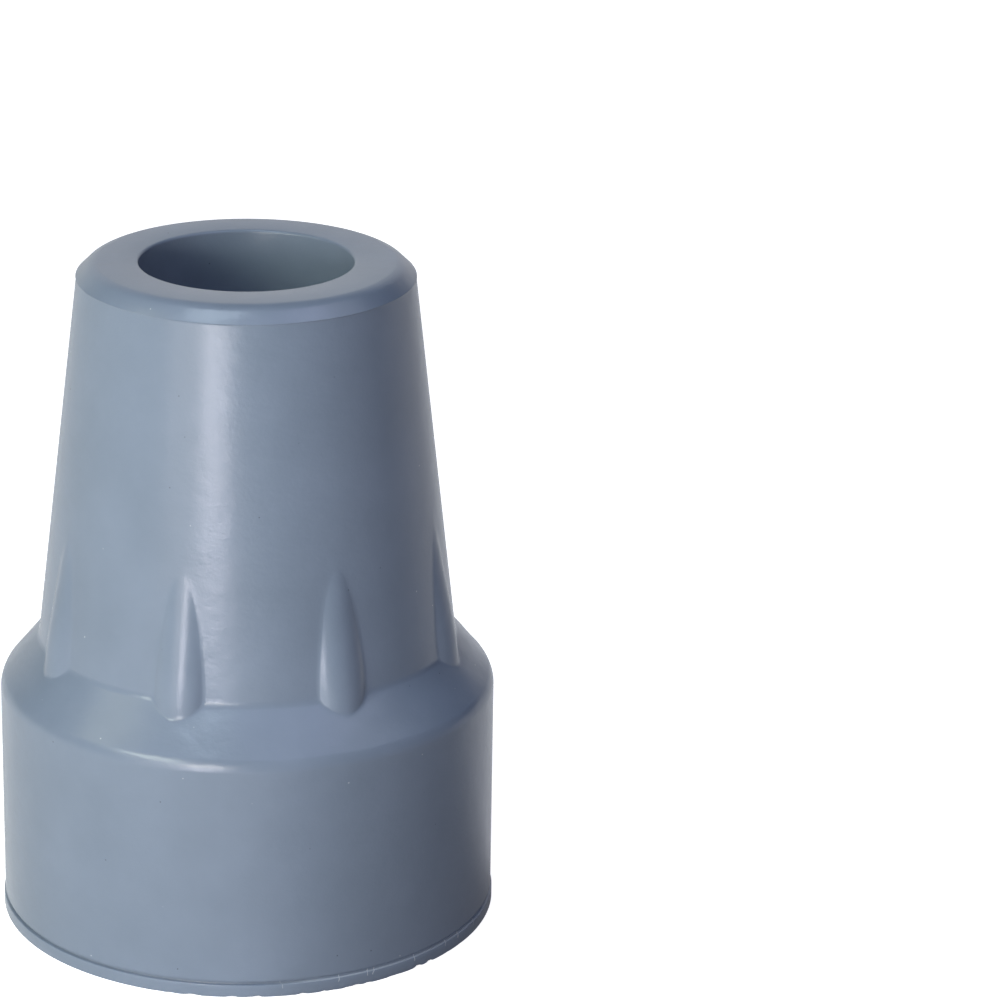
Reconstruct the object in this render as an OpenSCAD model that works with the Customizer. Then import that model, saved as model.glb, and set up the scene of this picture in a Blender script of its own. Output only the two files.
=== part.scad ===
// Rubber tip for the foot of a walking cane, moulded in one piece.
// Origin at the centre of the base, +Z up the axis of the socket, millimetres.

/* [Foot] */
// Outside diameter of the foot
foot_d = 44.8; // [42:0.1:56]
// Height at which the foot's side and the shoulder would meet in a sharp corner
foot_h = 21.9; // [16:0.1:27]
// Slope of the shoulder, below the horizontal
shoulder_angle = 50; // [35:1:58]
// Radius of the rounded edge between the shoulder and the foot's side
shoulder_r = 2; // [0.5:0.1:5]

/* [Neck] */
// Height of the tip over all
tip_h = 60.9; // [56:0.1:80]
// Diameter of the neck at its root, where it rises from the shoulder
neck_root_d = 37.7; // [33:0.1:40]
// Diameter of the neck under the rim
neck_top_d = 30; // [27:0.1:34]
// Radius of the small fillet at the root of the neck
neck_fillet_r = 0.5; // [0.1:0.1:2]

/* [Rim] */
// Height of the chamfered rim round the mouth
rim_h = 1.35; // [0.8:0.05:2]
// Slope of the rim's chamfer, below the horizontal
rim_angle = 45; // [35:1:60]
// Radius that blends the chamfer into the flat face of the mouth
rim_r = 1.5; // [0.2:0.1:2]
// How far the rim's lower edge stands proud of the neck, at the parting line
rim_lip = 0.08; // [0.02:0.01:0.4]

/* [Socket] */
// Diameter of the socket, for a 19 mm shaft
socket_d = 19; // [14:0.1:24]
// Depth of the socket from the mouth
socket_depth = 45; // [28:0.5:50]
// Radius of the edge of the socket's mouth
mouth_r = 0.25; // [0.05:0.05:1]
// Radius in the bottom corner of the socket
socket_floor_r = 1.5; // [0.5:0.1:4]

/* [Ribs] */
// Number of teardrop ribs round the root of the neck
rib_count = 8; // [4:1:10]
// Angle of the first rib from +X
rib_turn = 26.1; // [0:0.1:45]
// How far the line of a rib's ridge stands out from the root of the neck
rib_proud = 1; // [0.4:0.05:1.6]
// Height of a rib's point above the root of the neck
rib_reach = 11.5; // [6:0.1:20]
// Radius of a rib's round back
rib_r = 3.1; // [2:0.1:4.2]
// Distance along the ridge, from the root of the neck, to where the back starts to narrow
rib_heel = 3.1; // [1:0.1:5]
// Radius of the curve on which the back narrows down to the rib's heel
rib_heel_r = 42; // [30:1:80]

/* [Tread] */
// Depth of the ring grooves under the foot
tread_depth = 2.6; // [1:0.1:5]
// Diameter of the round button in the middle of the tread
button_d = 9.3; // [6:0.1:12]
// Inside diameter of the tread's middle ring
ring_inner_d = 16.4; // [14.5:0.1:19]
// Outside diameter of the tread's middle ring
ring_outer_d = 25.6; // [22:0.1:30]
// Inside diameter of the tread's outer ring
land_inner_d = 34.8; // [33:0.1:38]
// Radius of the worn edges of the grooves
groove_edge_r = 0.6; // [0.1:0.05:0.8]
// Radius in the bottom corners of the grooves
groove_floor_r = 0.4; // [0.1:0.05:0.9]

/* [Trimmed edge] */
// Height of the trimmed band round the foot's lower edge
band_h = 1.15; // [0.6:0.05:3]
// How far the band stands proud of the foot's side
band_proud = 0.12; // [0.04:0.01:0.4]
// Height of the parting groove above the band
parting_h = 0.28; // [0.1:0.02:0.6]
// Depth of the parting groove
parting_depth = 0.22; // [0.1:0.02:0.6]

/* [Hidden] */
$fn = 96;

foot_r = foot_d / 2;
neck_root_r = neck_root_d / 2;
neck_top_r = neck_top_d / 2;
socket_r = socket_d / 2;
band_r = foot_r + band_proud;

// Corner where the shoulder meets the neck, and the height of the rim's lower edge
root_z = foot_h + (foot_r - neck_root_r) * tan(shoulder_angle);
rim_z = tip_h - rim_h;
rim_edge_r = neck_top_r + rim_lip;

// Lean of the neck's side from the vertical
neck_lean = atan((neck_root_r - neck_top_r) / (rim_z - root_z));

// Cuts run this far past the faces that they open
past = 1;
// A rib's lower end runs on this far inside the foot, its upper end inside the neck
rib_bury = 1.5;

// Points of a round stretch about a centre, from angle a0 to a1
function arc(centre, r, a0, a1, steps = 8) =
    [for (i = [0 : steps])
        let (a = a0 + (a1 - a0) * i / steps)
        centre + r * [cos(a), sin(a)]];

// Round stretch in a corner whose two faces have the outward directions a0 and a1.
// A negative radius fills a hollow corner.
function rounded(corner, r, a0, a1) =
    let (reach = r / cos((a1 - a0) / 2))
    let (middle = (a0 + a1) / 2)
    let (centre = corner - reach * [cos(middle), sin(middle)])
    arc(centre, r, a0, a1);

// Radius of the neck's side at a height
function neck_r_at(z) =
    neck_root_r - (z - root_z) * tan(neck_lean);

// Outer section of the tip, from the centre of the base to the centre of the mouth
function outer_section() =
    let (shoulder_out = 90 - shoulder_angle)
    let (rim_out = 90 - rim_angle)
    let (rim_corner = [rim_edge_r - rim_h / tan(rim_angle), tip_h])
    concat(
        [[0, 0], [band_r, 0], [band_r, band_h]],
        [[foot_r - parting_depth, band_h]],
        [[foot_r - parting_depth, band_h + parting_h]],
        [[foot_r, band_h + parting_h]],
        rounded([foot_r, foot_h], shoulder_r, 0, shoulder_out),
        rounded([neck_root_r, root_z], -neck_fillet_r, shoulder_out, neck_lean),
        [[neck_top_r, rim_z], [rim_edge_r, rim_z]],
        rounded(rim_corner, rim_r, rim_out, 90),
        [[0, tip_h]]
    );

module outer_form() {
    rotate_extrude()
        polygon(outer_section());
}

// One leaning round bar that narrows down to its heel. The neck cuts it to a point above,
// and the shoulder cuts it round below.
module rib() {
    point_z = root_z + rib_reach;
    root = [neck_root_r + rib_proud, root_z];
    point = [neck_r_at(point_z), point_z];
    run = norm(point - root);
    lean = atan((root[0] - point[0]) / (point[1] - root[1]));
    slope = tan(shoulder_angle);
    to_shoulder = rib_proud * slope / (cos(lean) - sin(lean) * slope);
    below = to_shoulder + rib_bury;
    heel_turn = asin((rib_heel + below) / rib_heel_r);
    translate([root[0] - rib_r * cos(lean), 0, root[1] - rib_r * sin(lean)])
        rotate([0, -lean, 0])
            rotate_extrude()
                polygon(concat(
                    [[0, -below]],
                    arc([rib_r - rib_heel_r, rib_heel], rib_heel_r, -heel_turn, 0, 4),
                    [[rib_r, run + rib_bury], [0, run + rib_bury]]
                ));
}

module ribs() {
    for (i = [0 : rib_count - 1])
        rotate([0, 0, rib_turn + i * 360 / rib_count])
            rib();
}

// Blind bore for the shaft, with a round bottom corner and an eased mouth
module socket() {
    floor_z = tip_h - socket_depth;
    rotate_extrude()
        polygon(concat(
            [[0, floor_z]],
            rounded([socket_r, floor_z], socket_floor_r, -90, 0),
            arc([socket_r + mouth_r, tip_h - mouth_r], mouth_r, 180, 90),
            [[socket_r + mouth_r, tip_h + past], [0, tip_h + past]]
        ));
}

// Ring groove cut up into the base between two diameters
module tread_groove(inner_d, outer_d) {
    inner_r = inner_d / 2;
    outer_r = outer_d / 2;
    rotate_extrude()
        polygon(concat(
            [[inner_r - groove_edge_r, -past]],
            arc([inner_r - groove_edge_r, groove_edge_r], groove_edge_r, -90, 0),
            rounded([inner_r, tread_depth], groove_floor_r, 180, 90),
            rounded([outer_r, tread_depth], groove_floor_r, 90, 0),
            arc([outer_r + groove_edge_r, groove_edge_r], groove_edge_r, 180, 270),
            [[outer_r + groove_edge_r, -past]]
        ));
}

module cane_tip() {
    color("slategray")
        difference() {
            union() {
                outer_form();
                ribs();
            }
            socket();
            tread_groove(button_d, ring_inner_d);
            tread_groove(ring_outer_d, land_inner_d);
        }
}

cane_tip();
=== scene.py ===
import math

import bmesh
import bpy
from mathutils import Matrix, Vector, noise


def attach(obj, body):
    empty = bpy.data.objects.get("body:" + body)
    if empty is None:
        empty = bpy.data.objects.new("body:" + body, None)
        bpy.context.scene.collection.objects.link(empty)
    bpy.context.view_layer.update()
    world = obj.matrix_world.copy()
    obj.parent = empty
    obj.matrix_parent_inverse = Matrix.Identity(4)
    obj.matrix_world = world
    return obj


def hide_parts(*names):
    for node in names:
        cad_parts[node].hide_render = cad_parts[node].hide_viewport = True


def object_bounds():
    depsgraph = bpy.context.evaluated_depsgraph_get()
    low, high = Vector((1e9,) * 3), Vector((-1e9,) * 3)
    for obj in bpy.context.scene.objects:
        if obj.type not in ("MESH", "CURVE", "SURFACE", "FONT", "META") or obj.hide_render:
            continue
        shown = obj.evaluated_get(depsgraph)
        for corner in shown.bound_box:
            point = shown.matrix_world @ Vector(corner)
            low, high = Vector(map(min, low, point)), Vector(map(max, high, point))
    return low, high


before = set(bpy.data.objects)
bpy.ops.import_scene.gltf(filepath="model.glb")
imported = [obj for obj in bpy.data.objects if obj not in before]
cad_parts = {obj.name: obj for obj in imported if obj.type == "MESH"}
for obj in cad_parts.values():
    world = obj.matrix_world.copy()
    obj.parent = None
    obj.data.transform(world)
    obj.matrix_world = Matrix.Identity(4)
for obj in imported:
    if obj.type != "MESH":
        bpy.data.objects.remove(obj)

cadLow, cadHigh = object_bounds()
mm = 0.001


# Camera: where the photograph was taken from, and the frame that it fills
photo = {
    "distance": 0.392,                 # metres from the middle of the tip
    "elevation": 20.66,                # degrees above the horizon
    "yaw": 3.548,                      # aimed to the right of the tip, which stands at the left
    "pitch": -1.121,
    "roll": 0.974,
    "lens": 155.66,
    "nearest": 0.01,                   # metres; anything nearer isn't seen
}


def makeCamera():
    elevation = math.radians(photo["elevation"])
    tilt = math.radians(photo["elevation"] + photo["pitch"])
    yaw, roll = math.radians(photo["yaw"]), math.radians(photo["roll"])
    middle = Vector((0, 0, cadHigh.z / 2))
    back = Vector((0, -math.cos(elevation), math.sin(elevation)))
    forward = Vector((
        math.sin(yaw) * math.cos(tilt),
        math.cos(yaw) * math.cos(tilt),
        -math.sin(tilt),
    ))
    levelRight = forward.cross(Vector((0, 0, 1))).normalized()
    levelUp = levelRight.cross(forward)
    right = math.cos(roll) * levelRight + math.sin(roll) * levelUp
    up = math.cos(roll) * levelUp - math.sin(roll) * levelRight
    turn = Matrix((right, up, -forward)).transposed().to_4x4()
    data = bpy.data.cameras.new("camera")
    data.lens = photo["lens"]
    data.clip_start = photo["nearest"]
    camera = bpy.data.objects.new("camera", data)
    camera.matrix_world = Matrix.Translation(middle + back * photo["distance"]) @ turn
    bpy.context.scene.collection.objects.link(camera)
    bpy.context.scene.camera = camera


# Moulded tip, in millimetres: the solid's sizes, but for the fillet at the root of the neck
tip = {
    "height": cadHigh.z / mm,
    "bandRadius": cadHigh.x / mm,      # trimmed band round the lower edge
    "bandHeight": 1.15,
    "partingHeight": 0.28,             # groove of the mould's parting line, above the band
    "partingDepth": 0.22,
    "footRadius": 22.4,
    "footHeight": 21.9,
    "shoulderAngle": 50,               # degrees below the horizontal
    "shoulderEdge": 2.0,
    "neckRootRadius": 18.85,
    "neckTopRadius": 15.0,
    "neckFillet": 1.3,                 # softer than the solid's, as its highlight in the photo is
    "rimHeight": 1.35,
    "rimAngle": 45,
    "rimEdge": 1.5,
    "rimLip": 0.08,
    "socketRadius": 9.5,
    "socketDepth": 45,
    "mouthEdge": 0.25,
    "socketFloorEdge": 1.5,
    "treadDepth": 2.6,
    "buttonRadius": 4.65,
    "ringInner": 8.2,
    "ringOuter": 12.8,
    "landInner": 17.4,
    "grooveEdge": 0.6,
    "grooveFloorEdge": 0.4,
    "fineEdge": 0.06,                  # rounding of the edges that look sharp
    "columns": 480,                    # faces round the tip, sixty to each rib
    # faces across an edge that is rounded by more than each radius
    "edgeSteps": [(1, 9), (0.1, 4), (0, 2)],
    "underBand": 1.0,                  # how far in from the band's side a row runs under the foot
    "belowRibs": 1.5,                  # how far out from the neck a row runs just below the ribs
    "weld": 0.0005,
    "sharpAngle": 40,                  # degrees from which an edge isn't shaded smooth
}

# Heights of the rows of faces, by the stretch of the section that they are in
rows = {
    "inner": 4,                        # socket, mouth and the grooves of the tread
    "innerTread": 2,
    "trimmedEdge": 0.3,
    "ribs": 0.31,
    "nearRibs": 0.8,                   # just above the ribs, and the rim
    "plain": 3,
    "treadTop": 1,                     # stretches lower than this are the tread or trimmed edge
    "ribsBelow": 2,                    # how far below the root of the neck the ribs' rows begin
}

ribs = {
    "count": 8,
    "turn": 26.1,                      # degrees from +X to the first ridge
    "proud": 1.0,
    "reach": 11.5,
    "radius": 3.1,                     # of a rib's round back
    "heel": 3.1,                       # distance up the ridge to where the back starts to narrow
    "heelRadius": 42,
    "crease": 0.045,                   # softness of the line where a rib meets the neck
    "creaseReach": 2.0,                # how deep under the surface a rib's back still softens it
    "halfColumns": 15,                 # columns on each half of a rib
    "narrowest": 1.2,                  # degrees, keeps the columns apart at a rib's point
    "widest": 20,                      # degrees, more than half the width of a rib
    "fanAbove": 7.0,                   # heights over which the columns spread out again
    "fanBelow": 3.0,
    "columnsBelow": 6.0,               # how far below the root of the neck columns are moved
}

slope = math.tan(math.radians(tip["shoulderAngle"]))
rootHeight = tip["footHeight"] + (tip["footRadius"] - tip["neckRootRadius"]) * slope
rimBottom = tip["height"] - tip["rimHeight"]
neckTaper = (tip["neckRootRadius"] - tip["neckTopRadius"]) / (rimBottom - rootHeight)
pointHeight = rootHeight + ribs["reach"]
pointRadius = tip["neckRootRadius"] - ribs["reach"] * neckTaper
fanTop = pointHeight + ribs["fanAbove"]


def sectionCorners():
    # radius, height and rounding of each corner, from the middle of the base out and up
    # the side, over the rim and down the socket to its floor; those beside a small edge
    # keep the shading of the tall faces next to it flat
    small, edge, hollow = tip["fineEdge"], tip["grooveEdge"], tip["grooveFloorEdge"]
    deep, top, floor = tip["treadDepth"], tip["height"], tip["height"] - tip["socketDepth"]
    band, bandTop = tip["bandRadius"], tip["bandHeight"]
    foot, neck = tip["footRadius"], tip["neckTopRadius"]
    parting, partingTop = foot - tip["partingDepth"], bandTop + tip["partingHeight"]
    rim = neck + tip["rimLip"]
    rimTop = rim - tip["rimHeight"] / math.tan(math.radians(tip["rimAngle"]))
    below = tip["belowRibs"]
    beside = 3 * small
    return [
        (0, 0, 0),
        (tip["buttonRadius"], 0, edge),
        (tip["buttonRadius"], deep, hollow),
        (tip["ringInner"], deep, hollow),
        (tip["ringInner"], 0, edge),
        (tip["ringOuter"], 0, edge),
        (tip["ringOuter"], deep, hollow),
        (tip["landInner"], deep, hollow),
        (tip["landInner"], 0, edge),
        (band - tip["underBand"], 0, 0),
        (band, 0, small),
        (band, bandTop, small),
        (parting, bandTop, small),
        (parting, partingTop, small),
        (foot, partingTop, small),
        (foot, partingTop + beside, 0),
        (foot, tip["footHeight"] - tip["shoulderEdge"] / 2, 0),
        (foot, tip["footHeight"], tip["shoulderEdge"]),
        (tip["neckRootRadius"] + below, rootHeight - below * slope, 0),
        (tip["neckRootRadius"], rootHeight, tip["neckFillet"]),
        (pointRadius, pointHeight, 0),
        (pointRadius - ribs["fanAbove"] * neckTaper, fanTop, 0),
        (neck + beside * neckTaper, rimBottom - beside, 0),
        (neck, rimBottom, small / 2),
        (rim, rimBottom, small / 2),
        (rimTop, top, tip["rimEdge"]),
        (tip["socketRadius"], top, tip["mouthEdge"]),
        (tip["socketRadius"], floor, tip["socketFloorEdge"]),
        (0, floor, 0),
    ]


def rowsAlong(start, end):
    # how many rows of faces a straight stretch of the section is cut into
    middle = (start + end) / 2
    if middle.x < tip["neckTopRadius"]:
        size = rows["inner"] if middle.z > rows["treadTop"] else rows["innerTread"]
    elif middle.z < rows["treadTop"]:
        size = rows["trimmedEdge"]
    elif rootHeight - rows["ribsBelow"] < middle.z < pointHeight:
        size = rows["ribs"]
    elif pointHeight < middle.z < fanTop or middle.z > rimBottom:
        size = rows["nearRibs"]
    else:
        size = rows["plain"]
    return max(1, round((end - start).length / size))


def makeSection(bm):
    corners = sectionCorners()
    places = [Vector((radius, 0, height)) for radius, height, _ in corners]
    verts = [bm.verts.new(place) for place in places]
    for pair in zip(verts, verts[1:]):
        bm.edges.new(pair)
    for i in range(1, len(corners) - 1):
        rounding = corners[i][2]
        if rounding:
            turn = (places[i] - places[i - 1]).angle(places[i + 1] - places[i])
            steps = next(count for above, count in tip["edgeSteps"] if rounding > above)
            bmesh.ops.bevel(
                bm, geom=[verts[i]], offset=rounding * math.tan(turn / 2), offset_type="OFFSET",
                segments=steps, profile=0.5, affect="VERTICES", material=-1)
    for edge in list(bm.edges):
        count = rowsAlong(edge.verts[0].co, edge.verts[1].co)
        if count > 1:
            bmesh.ops.subdivide_edges(bm, edges=[edge], cuts=count - 1)
    return len(bm.verts)


def ribShape():
    # start and direction of the axis of the leaning round bar that each rib is the back of
    foot = Vector((tip["neckRootRadius"] + ribs["proud"], 0, rootHeight))
    point = Vector((pointRadius, 0, pointHeight))
    lean = math.atan((foot.x - point.x) / (point.z - foot.z))
    start = foot - ribs["radius"] * Vector((math.cos(lean), 0, math.sin(lean)))
    return start, Vector((-math.sin(lean), 0, math.cos(lean)))


ribStart, ribAxis = ribShape()


def ribThickness(along):
    # radius of the bar at a distance along its axis: it narrows down to the heel
    past = max(0, ribs["heel"] - along)
    return ribs["radius"] - ribs["heelRadius"] + math.sqrt(ribs["heelRadius"] ** 2 - past * past)


def ribRadius(angle, height):
    # how far out a rib's back lies at an angle from its ridge, or 0 beside it
    across = Vector((math.cos(angle), math.sin(angle), 0))
    offset = Vector((-ribStart.x, 0, height - ribStart.z))
    a, b = across.dot(ribAxis), offset.dot(ribAxis)
    p, q = 1 - a * a, across.dot(offset) - a * b
    out = tip["neckRootRadius"]
    for _ in range(3):
        under = q * q - p * (offset.dot(offset) - b * b - ribThickness(a * out + b) ** 2)
        if under <= 0:
            return 0
        out = (math.sqrt(under) - q) / p
    return out


def ribHalfWidth(radius, height):
    # angle from the ridge at which a rib sinks into the surface at that height, in degrees
    if ribRadius(0, height) <= radius:
        return 0
    near, far = 0, math.radians(ribs["widest"])
    for _ in range(24):
        middle = (near + far) / 2
        if ribRadius(middle, height) > radius:
            near = middle
        else:
            far = middle
    return math.degrees(near)


def smooth(share):
    # a share kept between 0 and 1, with a soft start and end
    share = max(0, min(1, share))
    return share * share * (3 - 2 * share)


def softLift(bare):
    # how far a rib lifts the surface, from how far its back lies outside it
    if bare <= -ribs["creaseReach"]:
        return 0
    return (bare + math.sqrt(bare * bare + ribs["crease"] ** 2)) / 2


def shapeRibs(bm):
    # moves the columns so that one follows each rib's edge, then lifts the ribs out of the neck
    sector = 360 / ribs["count"]
    edgeAngle = ribs["halfColumns"] * 360 / tip["columns"]
    rings = {}
    for v in bm.verts:
        radius, height = math.hypot(v.co.x, v.co.y), v.co.z
        if radius > tip["neckTopRadius"] and rootHeight - ribs["columnsBelow"] < height < fanTop:
            rings.setdefault((round(radius, 3), round(height, 3)), []).append(v)
    widths = {key: ribHalfWidth(*key) for key in rings}
    ribHeights = [key[1] for key in rings if widths[key] > 0]
    ribLow, ribHigh = min(ribHeights), max(ribHeights)
    for (radius, height), verts in rings.items():
        spread = smooth(max(
            (height - ribHigh) / ribs["fanAbove"], (ribLow - height) / ribs["fanBelow"]))
        narrow = max(widths[(radius, height)], ribs["narrowest"])
        width = narrow + (edgeAngle - narrow) * spread
        for v in verts:
            angle = math.degrees(math.atan2(v.co.y, v.co.x)) - ribs["turn"]
            ridge = round(angle / sector) * sector
            local = angle - ridge
            if abs(local) <= edgeAngle:
                moved = abs(local) * width / edgeAngle
            else:
                outside = (abs(local) - edgeAngle) / (sector / 2 - edgeAngle)
                moved = width + (sector / 2 - width) * outside
            out = radius + softLift(ribRadius(math.radians(moved), height) - radius)
            turned = math.radians(math.copysign(moved, local) + ridge + ribs["turn"])
            v.co.x, v.co.y = out * math.cos(turned), out * math.sin(turned)


# Wear and flash on the moulding, in millimetres; directions are in degrees from the front
# towards +X; a length is from one lump of the noise to the next, and a seed picks the lumps
wear = {
    "edgeNicks": 0.07,                 # how deep the trimmed lower edge is nicked
    "nickLength": 0.9,
    "nickSeed": 7.7,
    "nickFrom": 0.05,                  # value of the noise above which there is a nick
    "nickHeight": 0.45,                # height at which the nicks have died out
    "nickInward": 0.5,                 # how far in they go, as a share of how far up
    "roughFrom": -20,                  # between which directions they are at their full depth
    "roughTo": 50,
    "roughFade": 10,
    "roughElsewhere": 0.2,             # share of their depth elsewhere
    "edgeWidth": 0.8,                  # how far in from the band's side the wear reaches
    "edgeWave": 0.05,                  # slow unevenness of the trimming
    "waveLength": 9,
    "waveSeed": 3.1,
    "bandLumps": 0.03,
    "lumpLength": 2.3,
    "lumpSeed": 1.3,
    "waveHeight": 0.3,                 # height from which the wave and the lumps are full
    "flashFill": 0.9,                  # share of the parting groove that flash fills at the right
    "flashFrom": 14,
    "flashTo": 78,
    "flashFade": 16,                   # degrees over which it begins and ends
    "rimWave": 0.07,                   # unevenness of the parting line under the rim
    "rimLength": 6,
    "rimSeed": 5.5,
    "near": 0.1,                       # how near a line of the section a point counts as on it
    # larger nicks: direction, width and depth
    "nicks": [
        (-4, 0.8, 0.08), (2, 0.5, 0.10), (12, 0.6, 0.11), (17, 0.5, 0.08), (25, 0.7, 0.11),
        (42, 0.7, 0.16), (46, 0.5, 0.10),
    ],
}


def roundNoise(angle, radius, length, seed):
    # smooth noise round a ring
    k = radius / length
    return noise.noise(Vector((k * math.cos(angle), k * math.sin(angle), seed)))


def within(degrees, start, end, fade):
    # 1 between two directions and 0 outside them, with a soft change
    return smooth(min(degrees - start, end - degrees) / fade + 0.5)


def nickDepth(angle, degrees):
    # how deep the lower edge is nicked in a direction: fine nicks by noise, and the larger ones
    band = tip["bandRadius"]
    rough = roundNoise(angle, band, wear["nickLength"], wear["nickSeed"])
    depth = 2 * wear["edgeNicks"] * max(0, rough - wear["nickFrom"])
    full = within(degrees, wear["roughFrom"], wear["roughTo"], wear["roughFade"])
    depth *= wear["roughElsewhere"] + (1 - wear["roughElsewhere"]) * full
    for at, width, deep in wear["nicks"]:
        away = math.radians(degrees - at) * band / (width / 2)
        depth += deep * math.exp(-away * away)
    return depth


def shapeWear(bm):
    near, band, bandTop = wear["near"], tip["bandRadius"], tip["bandHeight"]
    groove, grooveTop = tip["footRadius"] - tip["partingDepth"], bandTop + tip["partingHeight"]
    for v in bm.verts:
        radius, height = math.hypot(v.co.x, v.co.y), v.co.z
        angle = math.atan2(v.co.y, v.co.x)
        degrees = (math.degrees(angle) + 270) % 360 - 180
        if abs(radius - groove) < near and bandTop - near < height < grooveTop + near:
            fill = wear["flashFill"] * within(
                degrees, wear["flashFrom"], wear["flashTo"], wear["flashFade"])
            out = radius + fill * tip["partingDepth"]
            v.co.x, v.co.y = out * math.cos(angle), out * math.sin(angle)
        elif radius > band - wear["edgeWidth"] and height < bandTop + near / 2:
            nick = nickDepth(angle, degrees) * max(0, 1 - height / wear["nickHeight"])
            wave = wear["edgeWave"] * roundNoise(angle, band, wear["waveLength"], wear["waveSeed"])
            lump = roundNoise(angle, band, wear["lumpLength"], wear["lumpSeed"])
            wave += wear["bandLumps"] * lump
            out = radius - wear["nickInward"] * nick + wave * min(1, height / wear["waveHeight"])
            v.co = Vector((out * math.cos(angle), out * math.sin(angle), height + nick))
        if radius > tip["neckTopRadius"] - near / 2 and abs(height - rimBottom) < near:
            rise = roundNoise(angle, radius, wear["rimLength"], wear["rimSeed"])
            v.co.z += wear["rimWave"] * rise


def makeTip():
    bm = bmesh.new()
    rowCount = makeSection(bm)
    turn = Matrix.Rotation(math.radians(ribs["turn"]), 3, "Z")
    bmesh.ops.rotate(bm, verts=bm.verts, cent=(0, 0, 0), matrix=turn)
    bmesh.ops.spin(
        bm, geom=bm.verts[:] + bm.edges[:], cent=(0, 0, 0), axis=(0, 0, 1),
        angle=2 * math.pi, steps=tip["columns"], use_merge=True, use_duplicate=False)
    bmesh.ops.remove_doubles(bm, verts=bm.verts, dist=tip["weld"])
    shapeRibs(bm)
    shapeWear(bm)
    bmesh.ops.recalc_face_normals(bm, faces=bm.faces)
    bmesh.ops.scale(bm, vec=(mm, mm, mm), verts=bm.verts)
    mesh = bpy.data.meshes.new("moulded_tip")
    bm.to_mesh(mesh)
    bm.free()
    mesh.shade_smooth()
    mesh.set_sharp_from_angle(angle=math.radians(tip["sharpAngle"]))
    piece = bpy.data.objects.new("moulded_tip", mesh)
    bpy.context.scene.collection.objects.link(piece)
    triangles = sum(len(p.vertices) - 2 for p in mesh.polygons)
    print("tip:", rowCount, "rows,", triangles, "triangles")
    return piece


# Materials
def linear(hexColour):
    # an sRGB hex colour as the linear values that the shaders take
    values = [int(hexColour[i:i + 2], 16) / 255 for i in (0, 2, 4)]
    return [v / 12.92 if v <= 0.04045 else ((v + 0.055) / 1.055) ** 2.4 for v in values] + [1]


def addNode(tree, kind, inputs, **settings):
    # one node; each of its inputs is a value, or another node's output to link in
    node = tree.nodes.new(kind)
    for name, value in settings.items():
        setattr(node, name, value)
    for name, value in inputs.items():
        if isinstance(value, bpy.types.NodeSocket):
            tree.links.new(value, node.inputs[name])
        else:
            node.inputs[name].default_value = value
    return node


def maths(tree, operation, *values):
    node = addNode(tree, "ShaderNodeMath", dict(enumerate(values)), operation=operation)
    return node.outputs["Value"]


def vectorMaths(tree, operation, *values):
    node = addNode(tree, "ShaderNodeVectorMath", dict(enumerate(values)), operation=operation)
    return node.outputs["Value" if operation in ("LENGTH", "DOT_PRODUCT") else "Vector"]


def ranged(tree, value, start, end, low=0, high=1, change="LINEAR"):
    # low where the value is at start, high where it is at end, and between them a change
    return addNode(tree, "ShaderNodeMapRange", {
        "Value": value, "From Min": start, "From Max": end, "To Min": low, "To Max": high,
    }, interpolation_type=change).outputs["Result"]


def mixed(tree, share, first, second):
    node = addNode(tree, "ShaderNodeMix", {0: share, 6: first, 7: second}, data_type="RGBA")
    return node.outputs[2]


def mottle(tree, place, size, detail=2):
    # smooth noise with lumps of a size in millimetres
    return addNode(tree, "ShaderNodeTexNoise", {
        "Vector": place, "Scale": 1 / (size * mm), "Detail": detail}).outputs["Fac"]


def newTree(name):
    material = bpy.data.materials.new(name)
    material.use_nodes = True
    material.node_tree.nodes.clear()
    return material, material.node_tree


# Rubber: colours and sizes in millimetres
rubber = {
    "darkCloud": "7e8b9c",
    "paleCloud": "8491a3",
    "darkSpeck": "5f6876",
    "paleSpeck": "b9c2cc",
    "cloud": 7.0,                      # size of a slow change of tone
    "cloudDetail": 3,
    "grain": 0.24,                     # fine sandy grain left by the mould
    "grainDepth": 0.008,
    "ripple": 1.6,                     # faint uneven patches, wider than high, in the shine
    "rippleDepth": 0.034,
    "rippleFlatness": 1.3,
    "noiseLow": 0.3,                   # values that most of a noise lies between
    "noiseHigh": 0.7,
    "speckSpacing": 3.0,
    "speckRadius": 0.07,
    "speckEnd": 1.3,                   # share of that radius at which a speck has faded out
    "speckFull": 0.5,
    "speckShift": 50,                  # sets the pale specks apart from the dark ones
    "tick": "c3cbd2",                  # pale upright scratches across the trimmed band; also the colour of the painted highlight along its top edge
    "tickSpacing": 3.0,
    "tickSlant": 0.5,                  # how far they wander sideways
    "tickBend": 1.2,                   # height over which they do
    "tickWidth": 0.09,
    "tickMiddle": 1.05,                # height of their middles, and how tall they are
    "tickHeight": 0.7,
    "tickFrom": 3,                     # degrees from the front towards +X that they lie between
    "tickTo": 72,
    "highlightLine": 0.06,                 # half the height of a painted highlight: a pale line along the band's top edge
    "highlightPale": 0.4,                  # how much of the scratches' paleness that painted highlight has
    "markDepth": 1.0,                  # how far from the band's side both reach
    "markFull": 0.7,                   # share of a mark's half width over which it is full
    "roughness": 0.25,
    "roughnessSwing": 0.015,           # how far the ripple changes it either way
    "ior": 1.5,
}


def insideAll(tree, limits):
    # 1 where every value lies within its reach of its centre, 0 where one is outside
    mask = None
    for value, centre, reach in limits:
        away = maths(tree, "ABSOLUTE", maths(tree, "SUBTRACT", value, centre))
        inside = ranged(tree, away, reach, reach * rubber["markFull"])
        mask = maths(tree, "MULTIPLY", mask, inside) if mask else inside
    return mask


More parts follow.
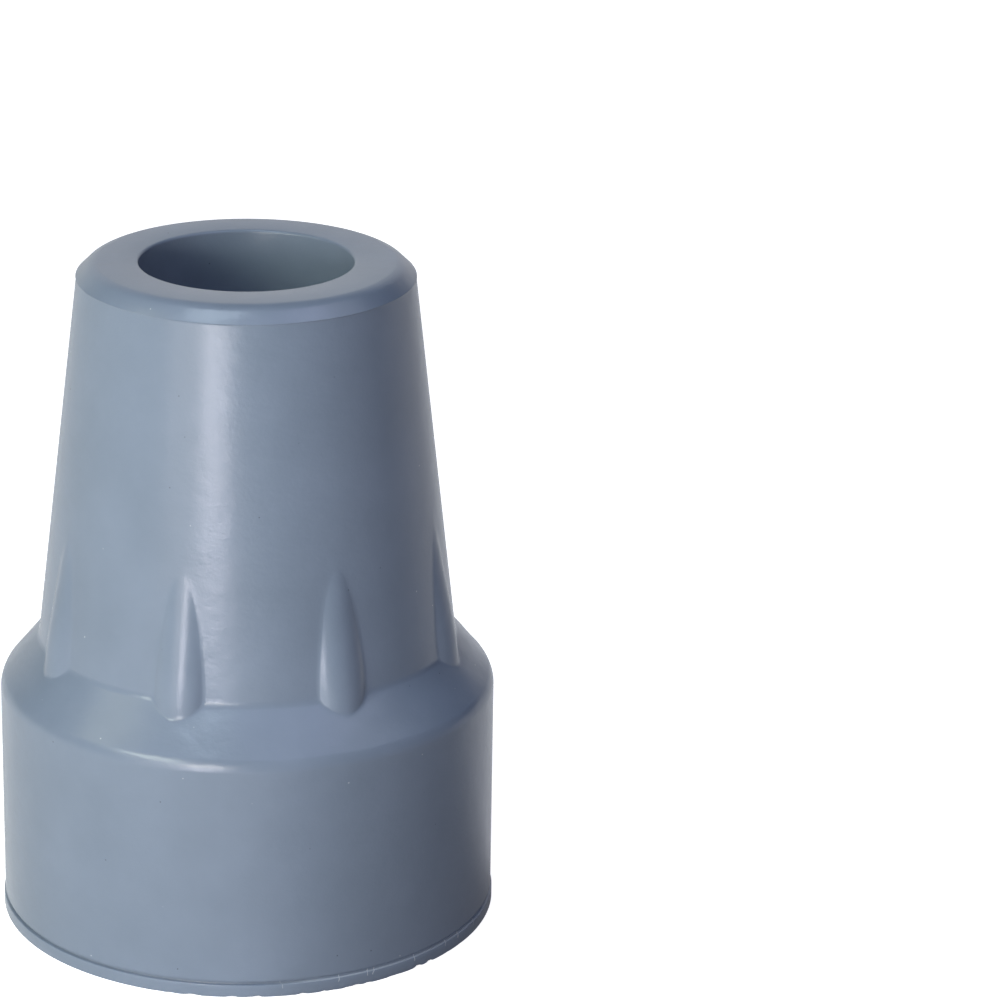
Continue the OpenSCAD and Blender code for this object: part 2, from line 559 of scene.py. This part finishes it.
def bandScratchesAndHighlight(tree, place):
    # 1 on the scratches across the trimmed band, less on a painted highlight along its top edge, 0
    # elsewhere
    band = tip["bandRadius"]
    parts = addNode(tree, "ShaderNodeSeparateXYZ", {"Vector": place}).outputs
    turn = maths(tree, "ARCTAN2", parts["X"], maths(tree, "MULTIPLY", parts["Y"], -1))
    bend = mottle(tree, place, rubber["tickBend"])
    slanted = maths(tree, "MULTIPLY_ADD", bend, 2 * rubber["tickSlant"] / band, turn)
    fromTick = addNode(tree, "ShaderNodeTexVoronoi", {
        "W": slanted, "Scale": band / rubber["tickSpacing"],
    }, voronoi_dimensions="1D").outputs["Distance"]
    out = vectorMaths(tree, "LENGTH", vectorMaths(tree, "MULTIPLY", place, (1, 1, 0)))
    middle = math.radians((rubber["tickFrom"] + rubber["tickTo"]) / 2)
    halfSector = math.radians(rubber["tickTo"] - rubber["tickFrom"]) / 2
    onBand = insideAll(tree, [
        (turn, middle, halfSector),
        (out, band * mm, rubber["markDepth"] * mm),
    ])
    ticks = insideAll(tree, [
        (fromTick, 0, rubber["tickWidth"] / 2 / rubber["tickSpacing"]),
        (parts["Z"], rubber["tickMiddle"] * mm, rubber["tickHeight"] / 2 * mm),
    ])
    # painted highlight: a pale line along the band's top edge, where that edge catches the light
    line = insideAll(tree, [(parts["Z"], tip["bandHeight"] * mm, rubber["highlightLine"] * mm)])
    pale = maths(tree, "MAXIMUM", ticks, maths(tree, "MULTIPLY", line, rubber["highlightPale"]))
    return maths(tree, "MULTIPLY", onBand, pale)


def specks(tree, place, shift):
    # 1 in the middle of small round specks, 0 between them
    moved = vectorMaths(tree, "ADD", place, (shift * mm, shift * mm, shift * mm))
    away = addNode(tree, "ShaderNodeTexVoronoi", {
        "Vector": moved, "Scale": 1 / (rubber["speckSpacing"] * mm)}).outputs["Distance"]
    radius = rubber["speckRadius"] / rubber["speckSpacing"]
    return ranged(tree, away, radius * rubber["speckEnd"], radius * rubber["speckFull"])


def mouldedRubber():
    # Moulded rubber, satin: an even blue-grey with a soft broad shine that fine grain breaks up,
    # with a few pale and dark specks of filler and dust
    material, tree = newTree("moulded_satin_rubber")
    place = addNode(tree, "ShaderNodeTexCoord", {}).outputs["Object"]
    low, high = rubber["noiseLow"], rubber["noiseHigh"]

    clouds = mottle(tree, place, rubber["cloud"], rubber["cloudDetail"])
    grain = mottle(tree, place, rubber["grain"])
    flat = vectorMaths(tree, "MULTIPLY", place, (1, 1, rubber["rippleFlatness"]))
    ripple = mottle(tree, flat, rubber["ripple"])

    tone = ranged(tree, clouds, low, high)
    colour = mixed(tree, tone, linear(rubber["darkCloud"]), linear(rubber["paleCloud"]))
    dark, pale = specks(tree, place, 0), specks(tree, place, rubber["speckShift"])
    colour = mixed(tree, dark, colour, linear(rubber["darkSpeck"]))
    colour = mixed(tree, pale, colour, linear(rubber["paleSpeck"]))
    # pale scratches across the band, and a painted highlight along its top edge
    colour = mixed(tree, bandScratchesAndHighlight(tree, place), colour, linear(rubber["tick"]))

    roughness = ranged(
        tree, ripple, low, high, rubber["roughness"] - rubber["roughnessSwing"],
        rubber["roughness"] + rubber["roughnessSwing"])
    soft = addNode(tree, "ShaderNodeBump", {
        "Height": ripple, "Distance": rubber["rippleDepth"] * mm}).outputs["Normal"]
    sandy = addNode(tree, "ShaderNodeBump", {
        "Height": grain, "Distance": rubber["grainDepth"] * mm, "Normal": soft}).outputs["Normal"]
    shader = addNode(tree, "ShaderNodeBsdfPrincipled", {
        "Base Color": colour, "Roughness": roughness, "IOR": rubber["ior"], "Normal": sandy})
    addNode(tree, "ShaderNodeOutputMaterial", {"Surface": shader.outputs["BSDF"]})
    return material


# Studio: a pale floor, a white surround behind the tip, and soft lamps
studio = {
    "floorSize": 6.0,
    "floorColour": "f2f2f2",
    "floorSeen": 0.85,                 # white added to the lit floor for the camera
    "floorGlow": 0.5,                  # white added to it for the shine on the tip
    # what the tip's surface sees of the floor: darker within a sector at its right
    "floorShare": 0.87,                # of its colour and glow elsewhere
    "shadeShare": 0.30,                # in the middle of the sector
    "shadeTowards": 55,                # degrees from the front towards +X
    "shadeFull": 26,                   # degrees off that direction where it begins to fade
    "shadeEnd": 60,
    "behind": 0.776,                   # how bright the surround is behind the tip
    "behindFrom": 0.52,                # how far back it begins, and where it is full
    "behindTo": 0.92,
}

# name, degrees from the front towards +X, distance and height of its middle in metres, width,
# height, height it is aimed at, watts and colour
lamps = [
    ("softbox_top", -45.5, 0.27, 0.145, 0.133, 0.070, 0.145, 0.265, "f7fff1"),
    ("softbox_side", -34.7, 0.27, 0.057, 0.140, 0.106, 0.057, 0.088, "fff8f7"),
    ("softbox_foot", -19, 0.27, 0.024, 0.073, 0.040, 0.024, 0.098, "f6f2ff"),
    ("softbox_low", -18, 0.27, 0.083, 0.085, 0.036, 0.030, 0.155, "fffaf4"),
    ("left_fill", -80, 0.788, 0.646, 0.4, 0.4, 0.03, 0.95, "feffde"),
    ("right_fill", 80, 0.616, 0.818, 0.62, 0.45, 0.03, 0.80, "eef0ff"),
    ("top_left", -40, 0.391, 0.950, 0.4, 0.4, 0.03, 2.95, "dcecfb"),
    ("top_front", 15, 0.574, 0.849, 0.4, 0.4, 0.03, 0.48, "ccd0ff"),
    ("top_right", 60, 0.5, 0.896, 0.45, 0.4, 0.03, 0.92, "c8ccff"),
]


def floorPaper():
    # Matt white paper: no shine of its own, whiter for the camera and for the tip's shine
    material, tree = newTree("matt_white_paper")
    place = addNode(tree, "ShaderNodeTexCoord", {}).outputs["Object"]
    turn = math.radians(studio["shadeTowards"])
    towards = vectorMaths(
        tree, "DOT_PRODUCT", vectorMaths(tree, "NORMALIZE", place),
        (math.sin(turn), -math.cos(turn), 0))
    shade = ranged(
        tree, towards, math.cos(math.radians(studio["shadeFull"])),
        math.cos(math.radians(studio["shadeEnd"])), studio["shadeShare"], studio["floorShare"],
        "SMOOTHSTEP")
    rays = addNode(tree, "ShaderNodeLightPath", {}).outputs
    level = maths(tree, "MAXIMUM", rays["Is Camera Ray"], shade)
    colour = mixed(tree, level, (0, 0, 0, 1), linear(studio["floorColour"]))
    paper = addNode(tree, "ShaderNodeBsdfDiffuse", {"Color": colour}).outputs["BSDF"]
    shone = maths(tree, "MULTIPLY", rays["Is Glossy Ray"], shade)
    shone = maths(tree, "MULTIPLY", shone, studio["floorGlow"])
    glow = maths(tree, "MULTIPLY_ADD", rays["Is Camera Ray"], studio["floorSeen"], shone)
    glow = addNode(tree, "ShaderNodeEmission", {"Strength": glow}).outputs["Emission"]
    both = addNode(tree, "ShaderNodeAddShader", {0: paper, 1: glow}).outputs["Shader"]
    addNode(tree, "ShaderNodeOutputMaterial", {"Surface": both})
    return material


def makeFloor():
    bm = bmesh.new()
    bmesh.ops.create_grid(bm, x_segments=1, y_segments=1, size=studio["floorSize"] / 2)
    mesh = bpy.data.meshes.new("floor")
    bm.to_mesh(mesh)
    bm.free()
    floor = bpy.data.objects.new("floor", mesh)
    bpy.context.scene.collection.objects.link(floor)
    mesh.materials.append(floorPaper())


def makeSurround():
    # white behind the tip, fading to nothing at its sides; the camera sees white all round
    world = bpy.data.worlds.new("surround")
    world.use_nodes = True
    tree = world.node_tree
    tree.nodes.clear()
    direction = addNode(tree, "ShaderNodeTexCoord", {}).outputs["Generated"]
    parts = addNode(tree, "ShaderNodeSeparateXYZ", {"Vector": direction}).outputs
    behind = ranged(
        tree, parts["Y"], studio["behindFrom"], studio["behindTo"], 0, studio["behind"],
        "SMOOTHSTEP")
    rays = addNode(tree, "ShaderNodeLightPath", {}).outputs
    seen = maths(tree, "MAXIMUM", behind, rays["Is Camera Ray"])
    sky = addNode(tree, "ShaderNodeBackground", {"Color": (1, 1, 1, 1), "Strength": seen})
    addNode(tree, "ShaderNodeOutputWorld", {"Surface": sky.outputs["Background"]})
    bpy.context.scene.world = world


def makeLamps():
    for name, azimuth, distance, middle, width, height, aim, watts, colour in lamps:
        a = math.radians(azimuth)
        data = bpy.data.lights.new(name, "AREA")
        data.shape = "RECTANGLE"
        data.size, data.size_y = width, height
        data.energy = watts
        data.color = linear(colour)[:3]
        lamp = bpy.data.objects.new(name, data)
        lamp.location = (distance * math.sin(a), -distance * math.cos(a), middle)
        away = lamp.location - Vector((0, 0, aim))
        lamp.rotation_euler = away.to_track_quat("Z", "Y").to_euler()
        lamp.visible_camera = False
        bpy.context.scene.collection.objects.link(lamp)


makeCamera()
print("camera placed")
tipPiece = makeTip()
tipPiece.data.materials.append(mouldedRubber())
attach(tipPiece, "root")
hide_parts("cane_tip")
print("tip finished")
makeFloor()
makeSurround()
makeLamps()
print("studio lit")

bpy.context.scene.view_settings.view_transform = "Standard"
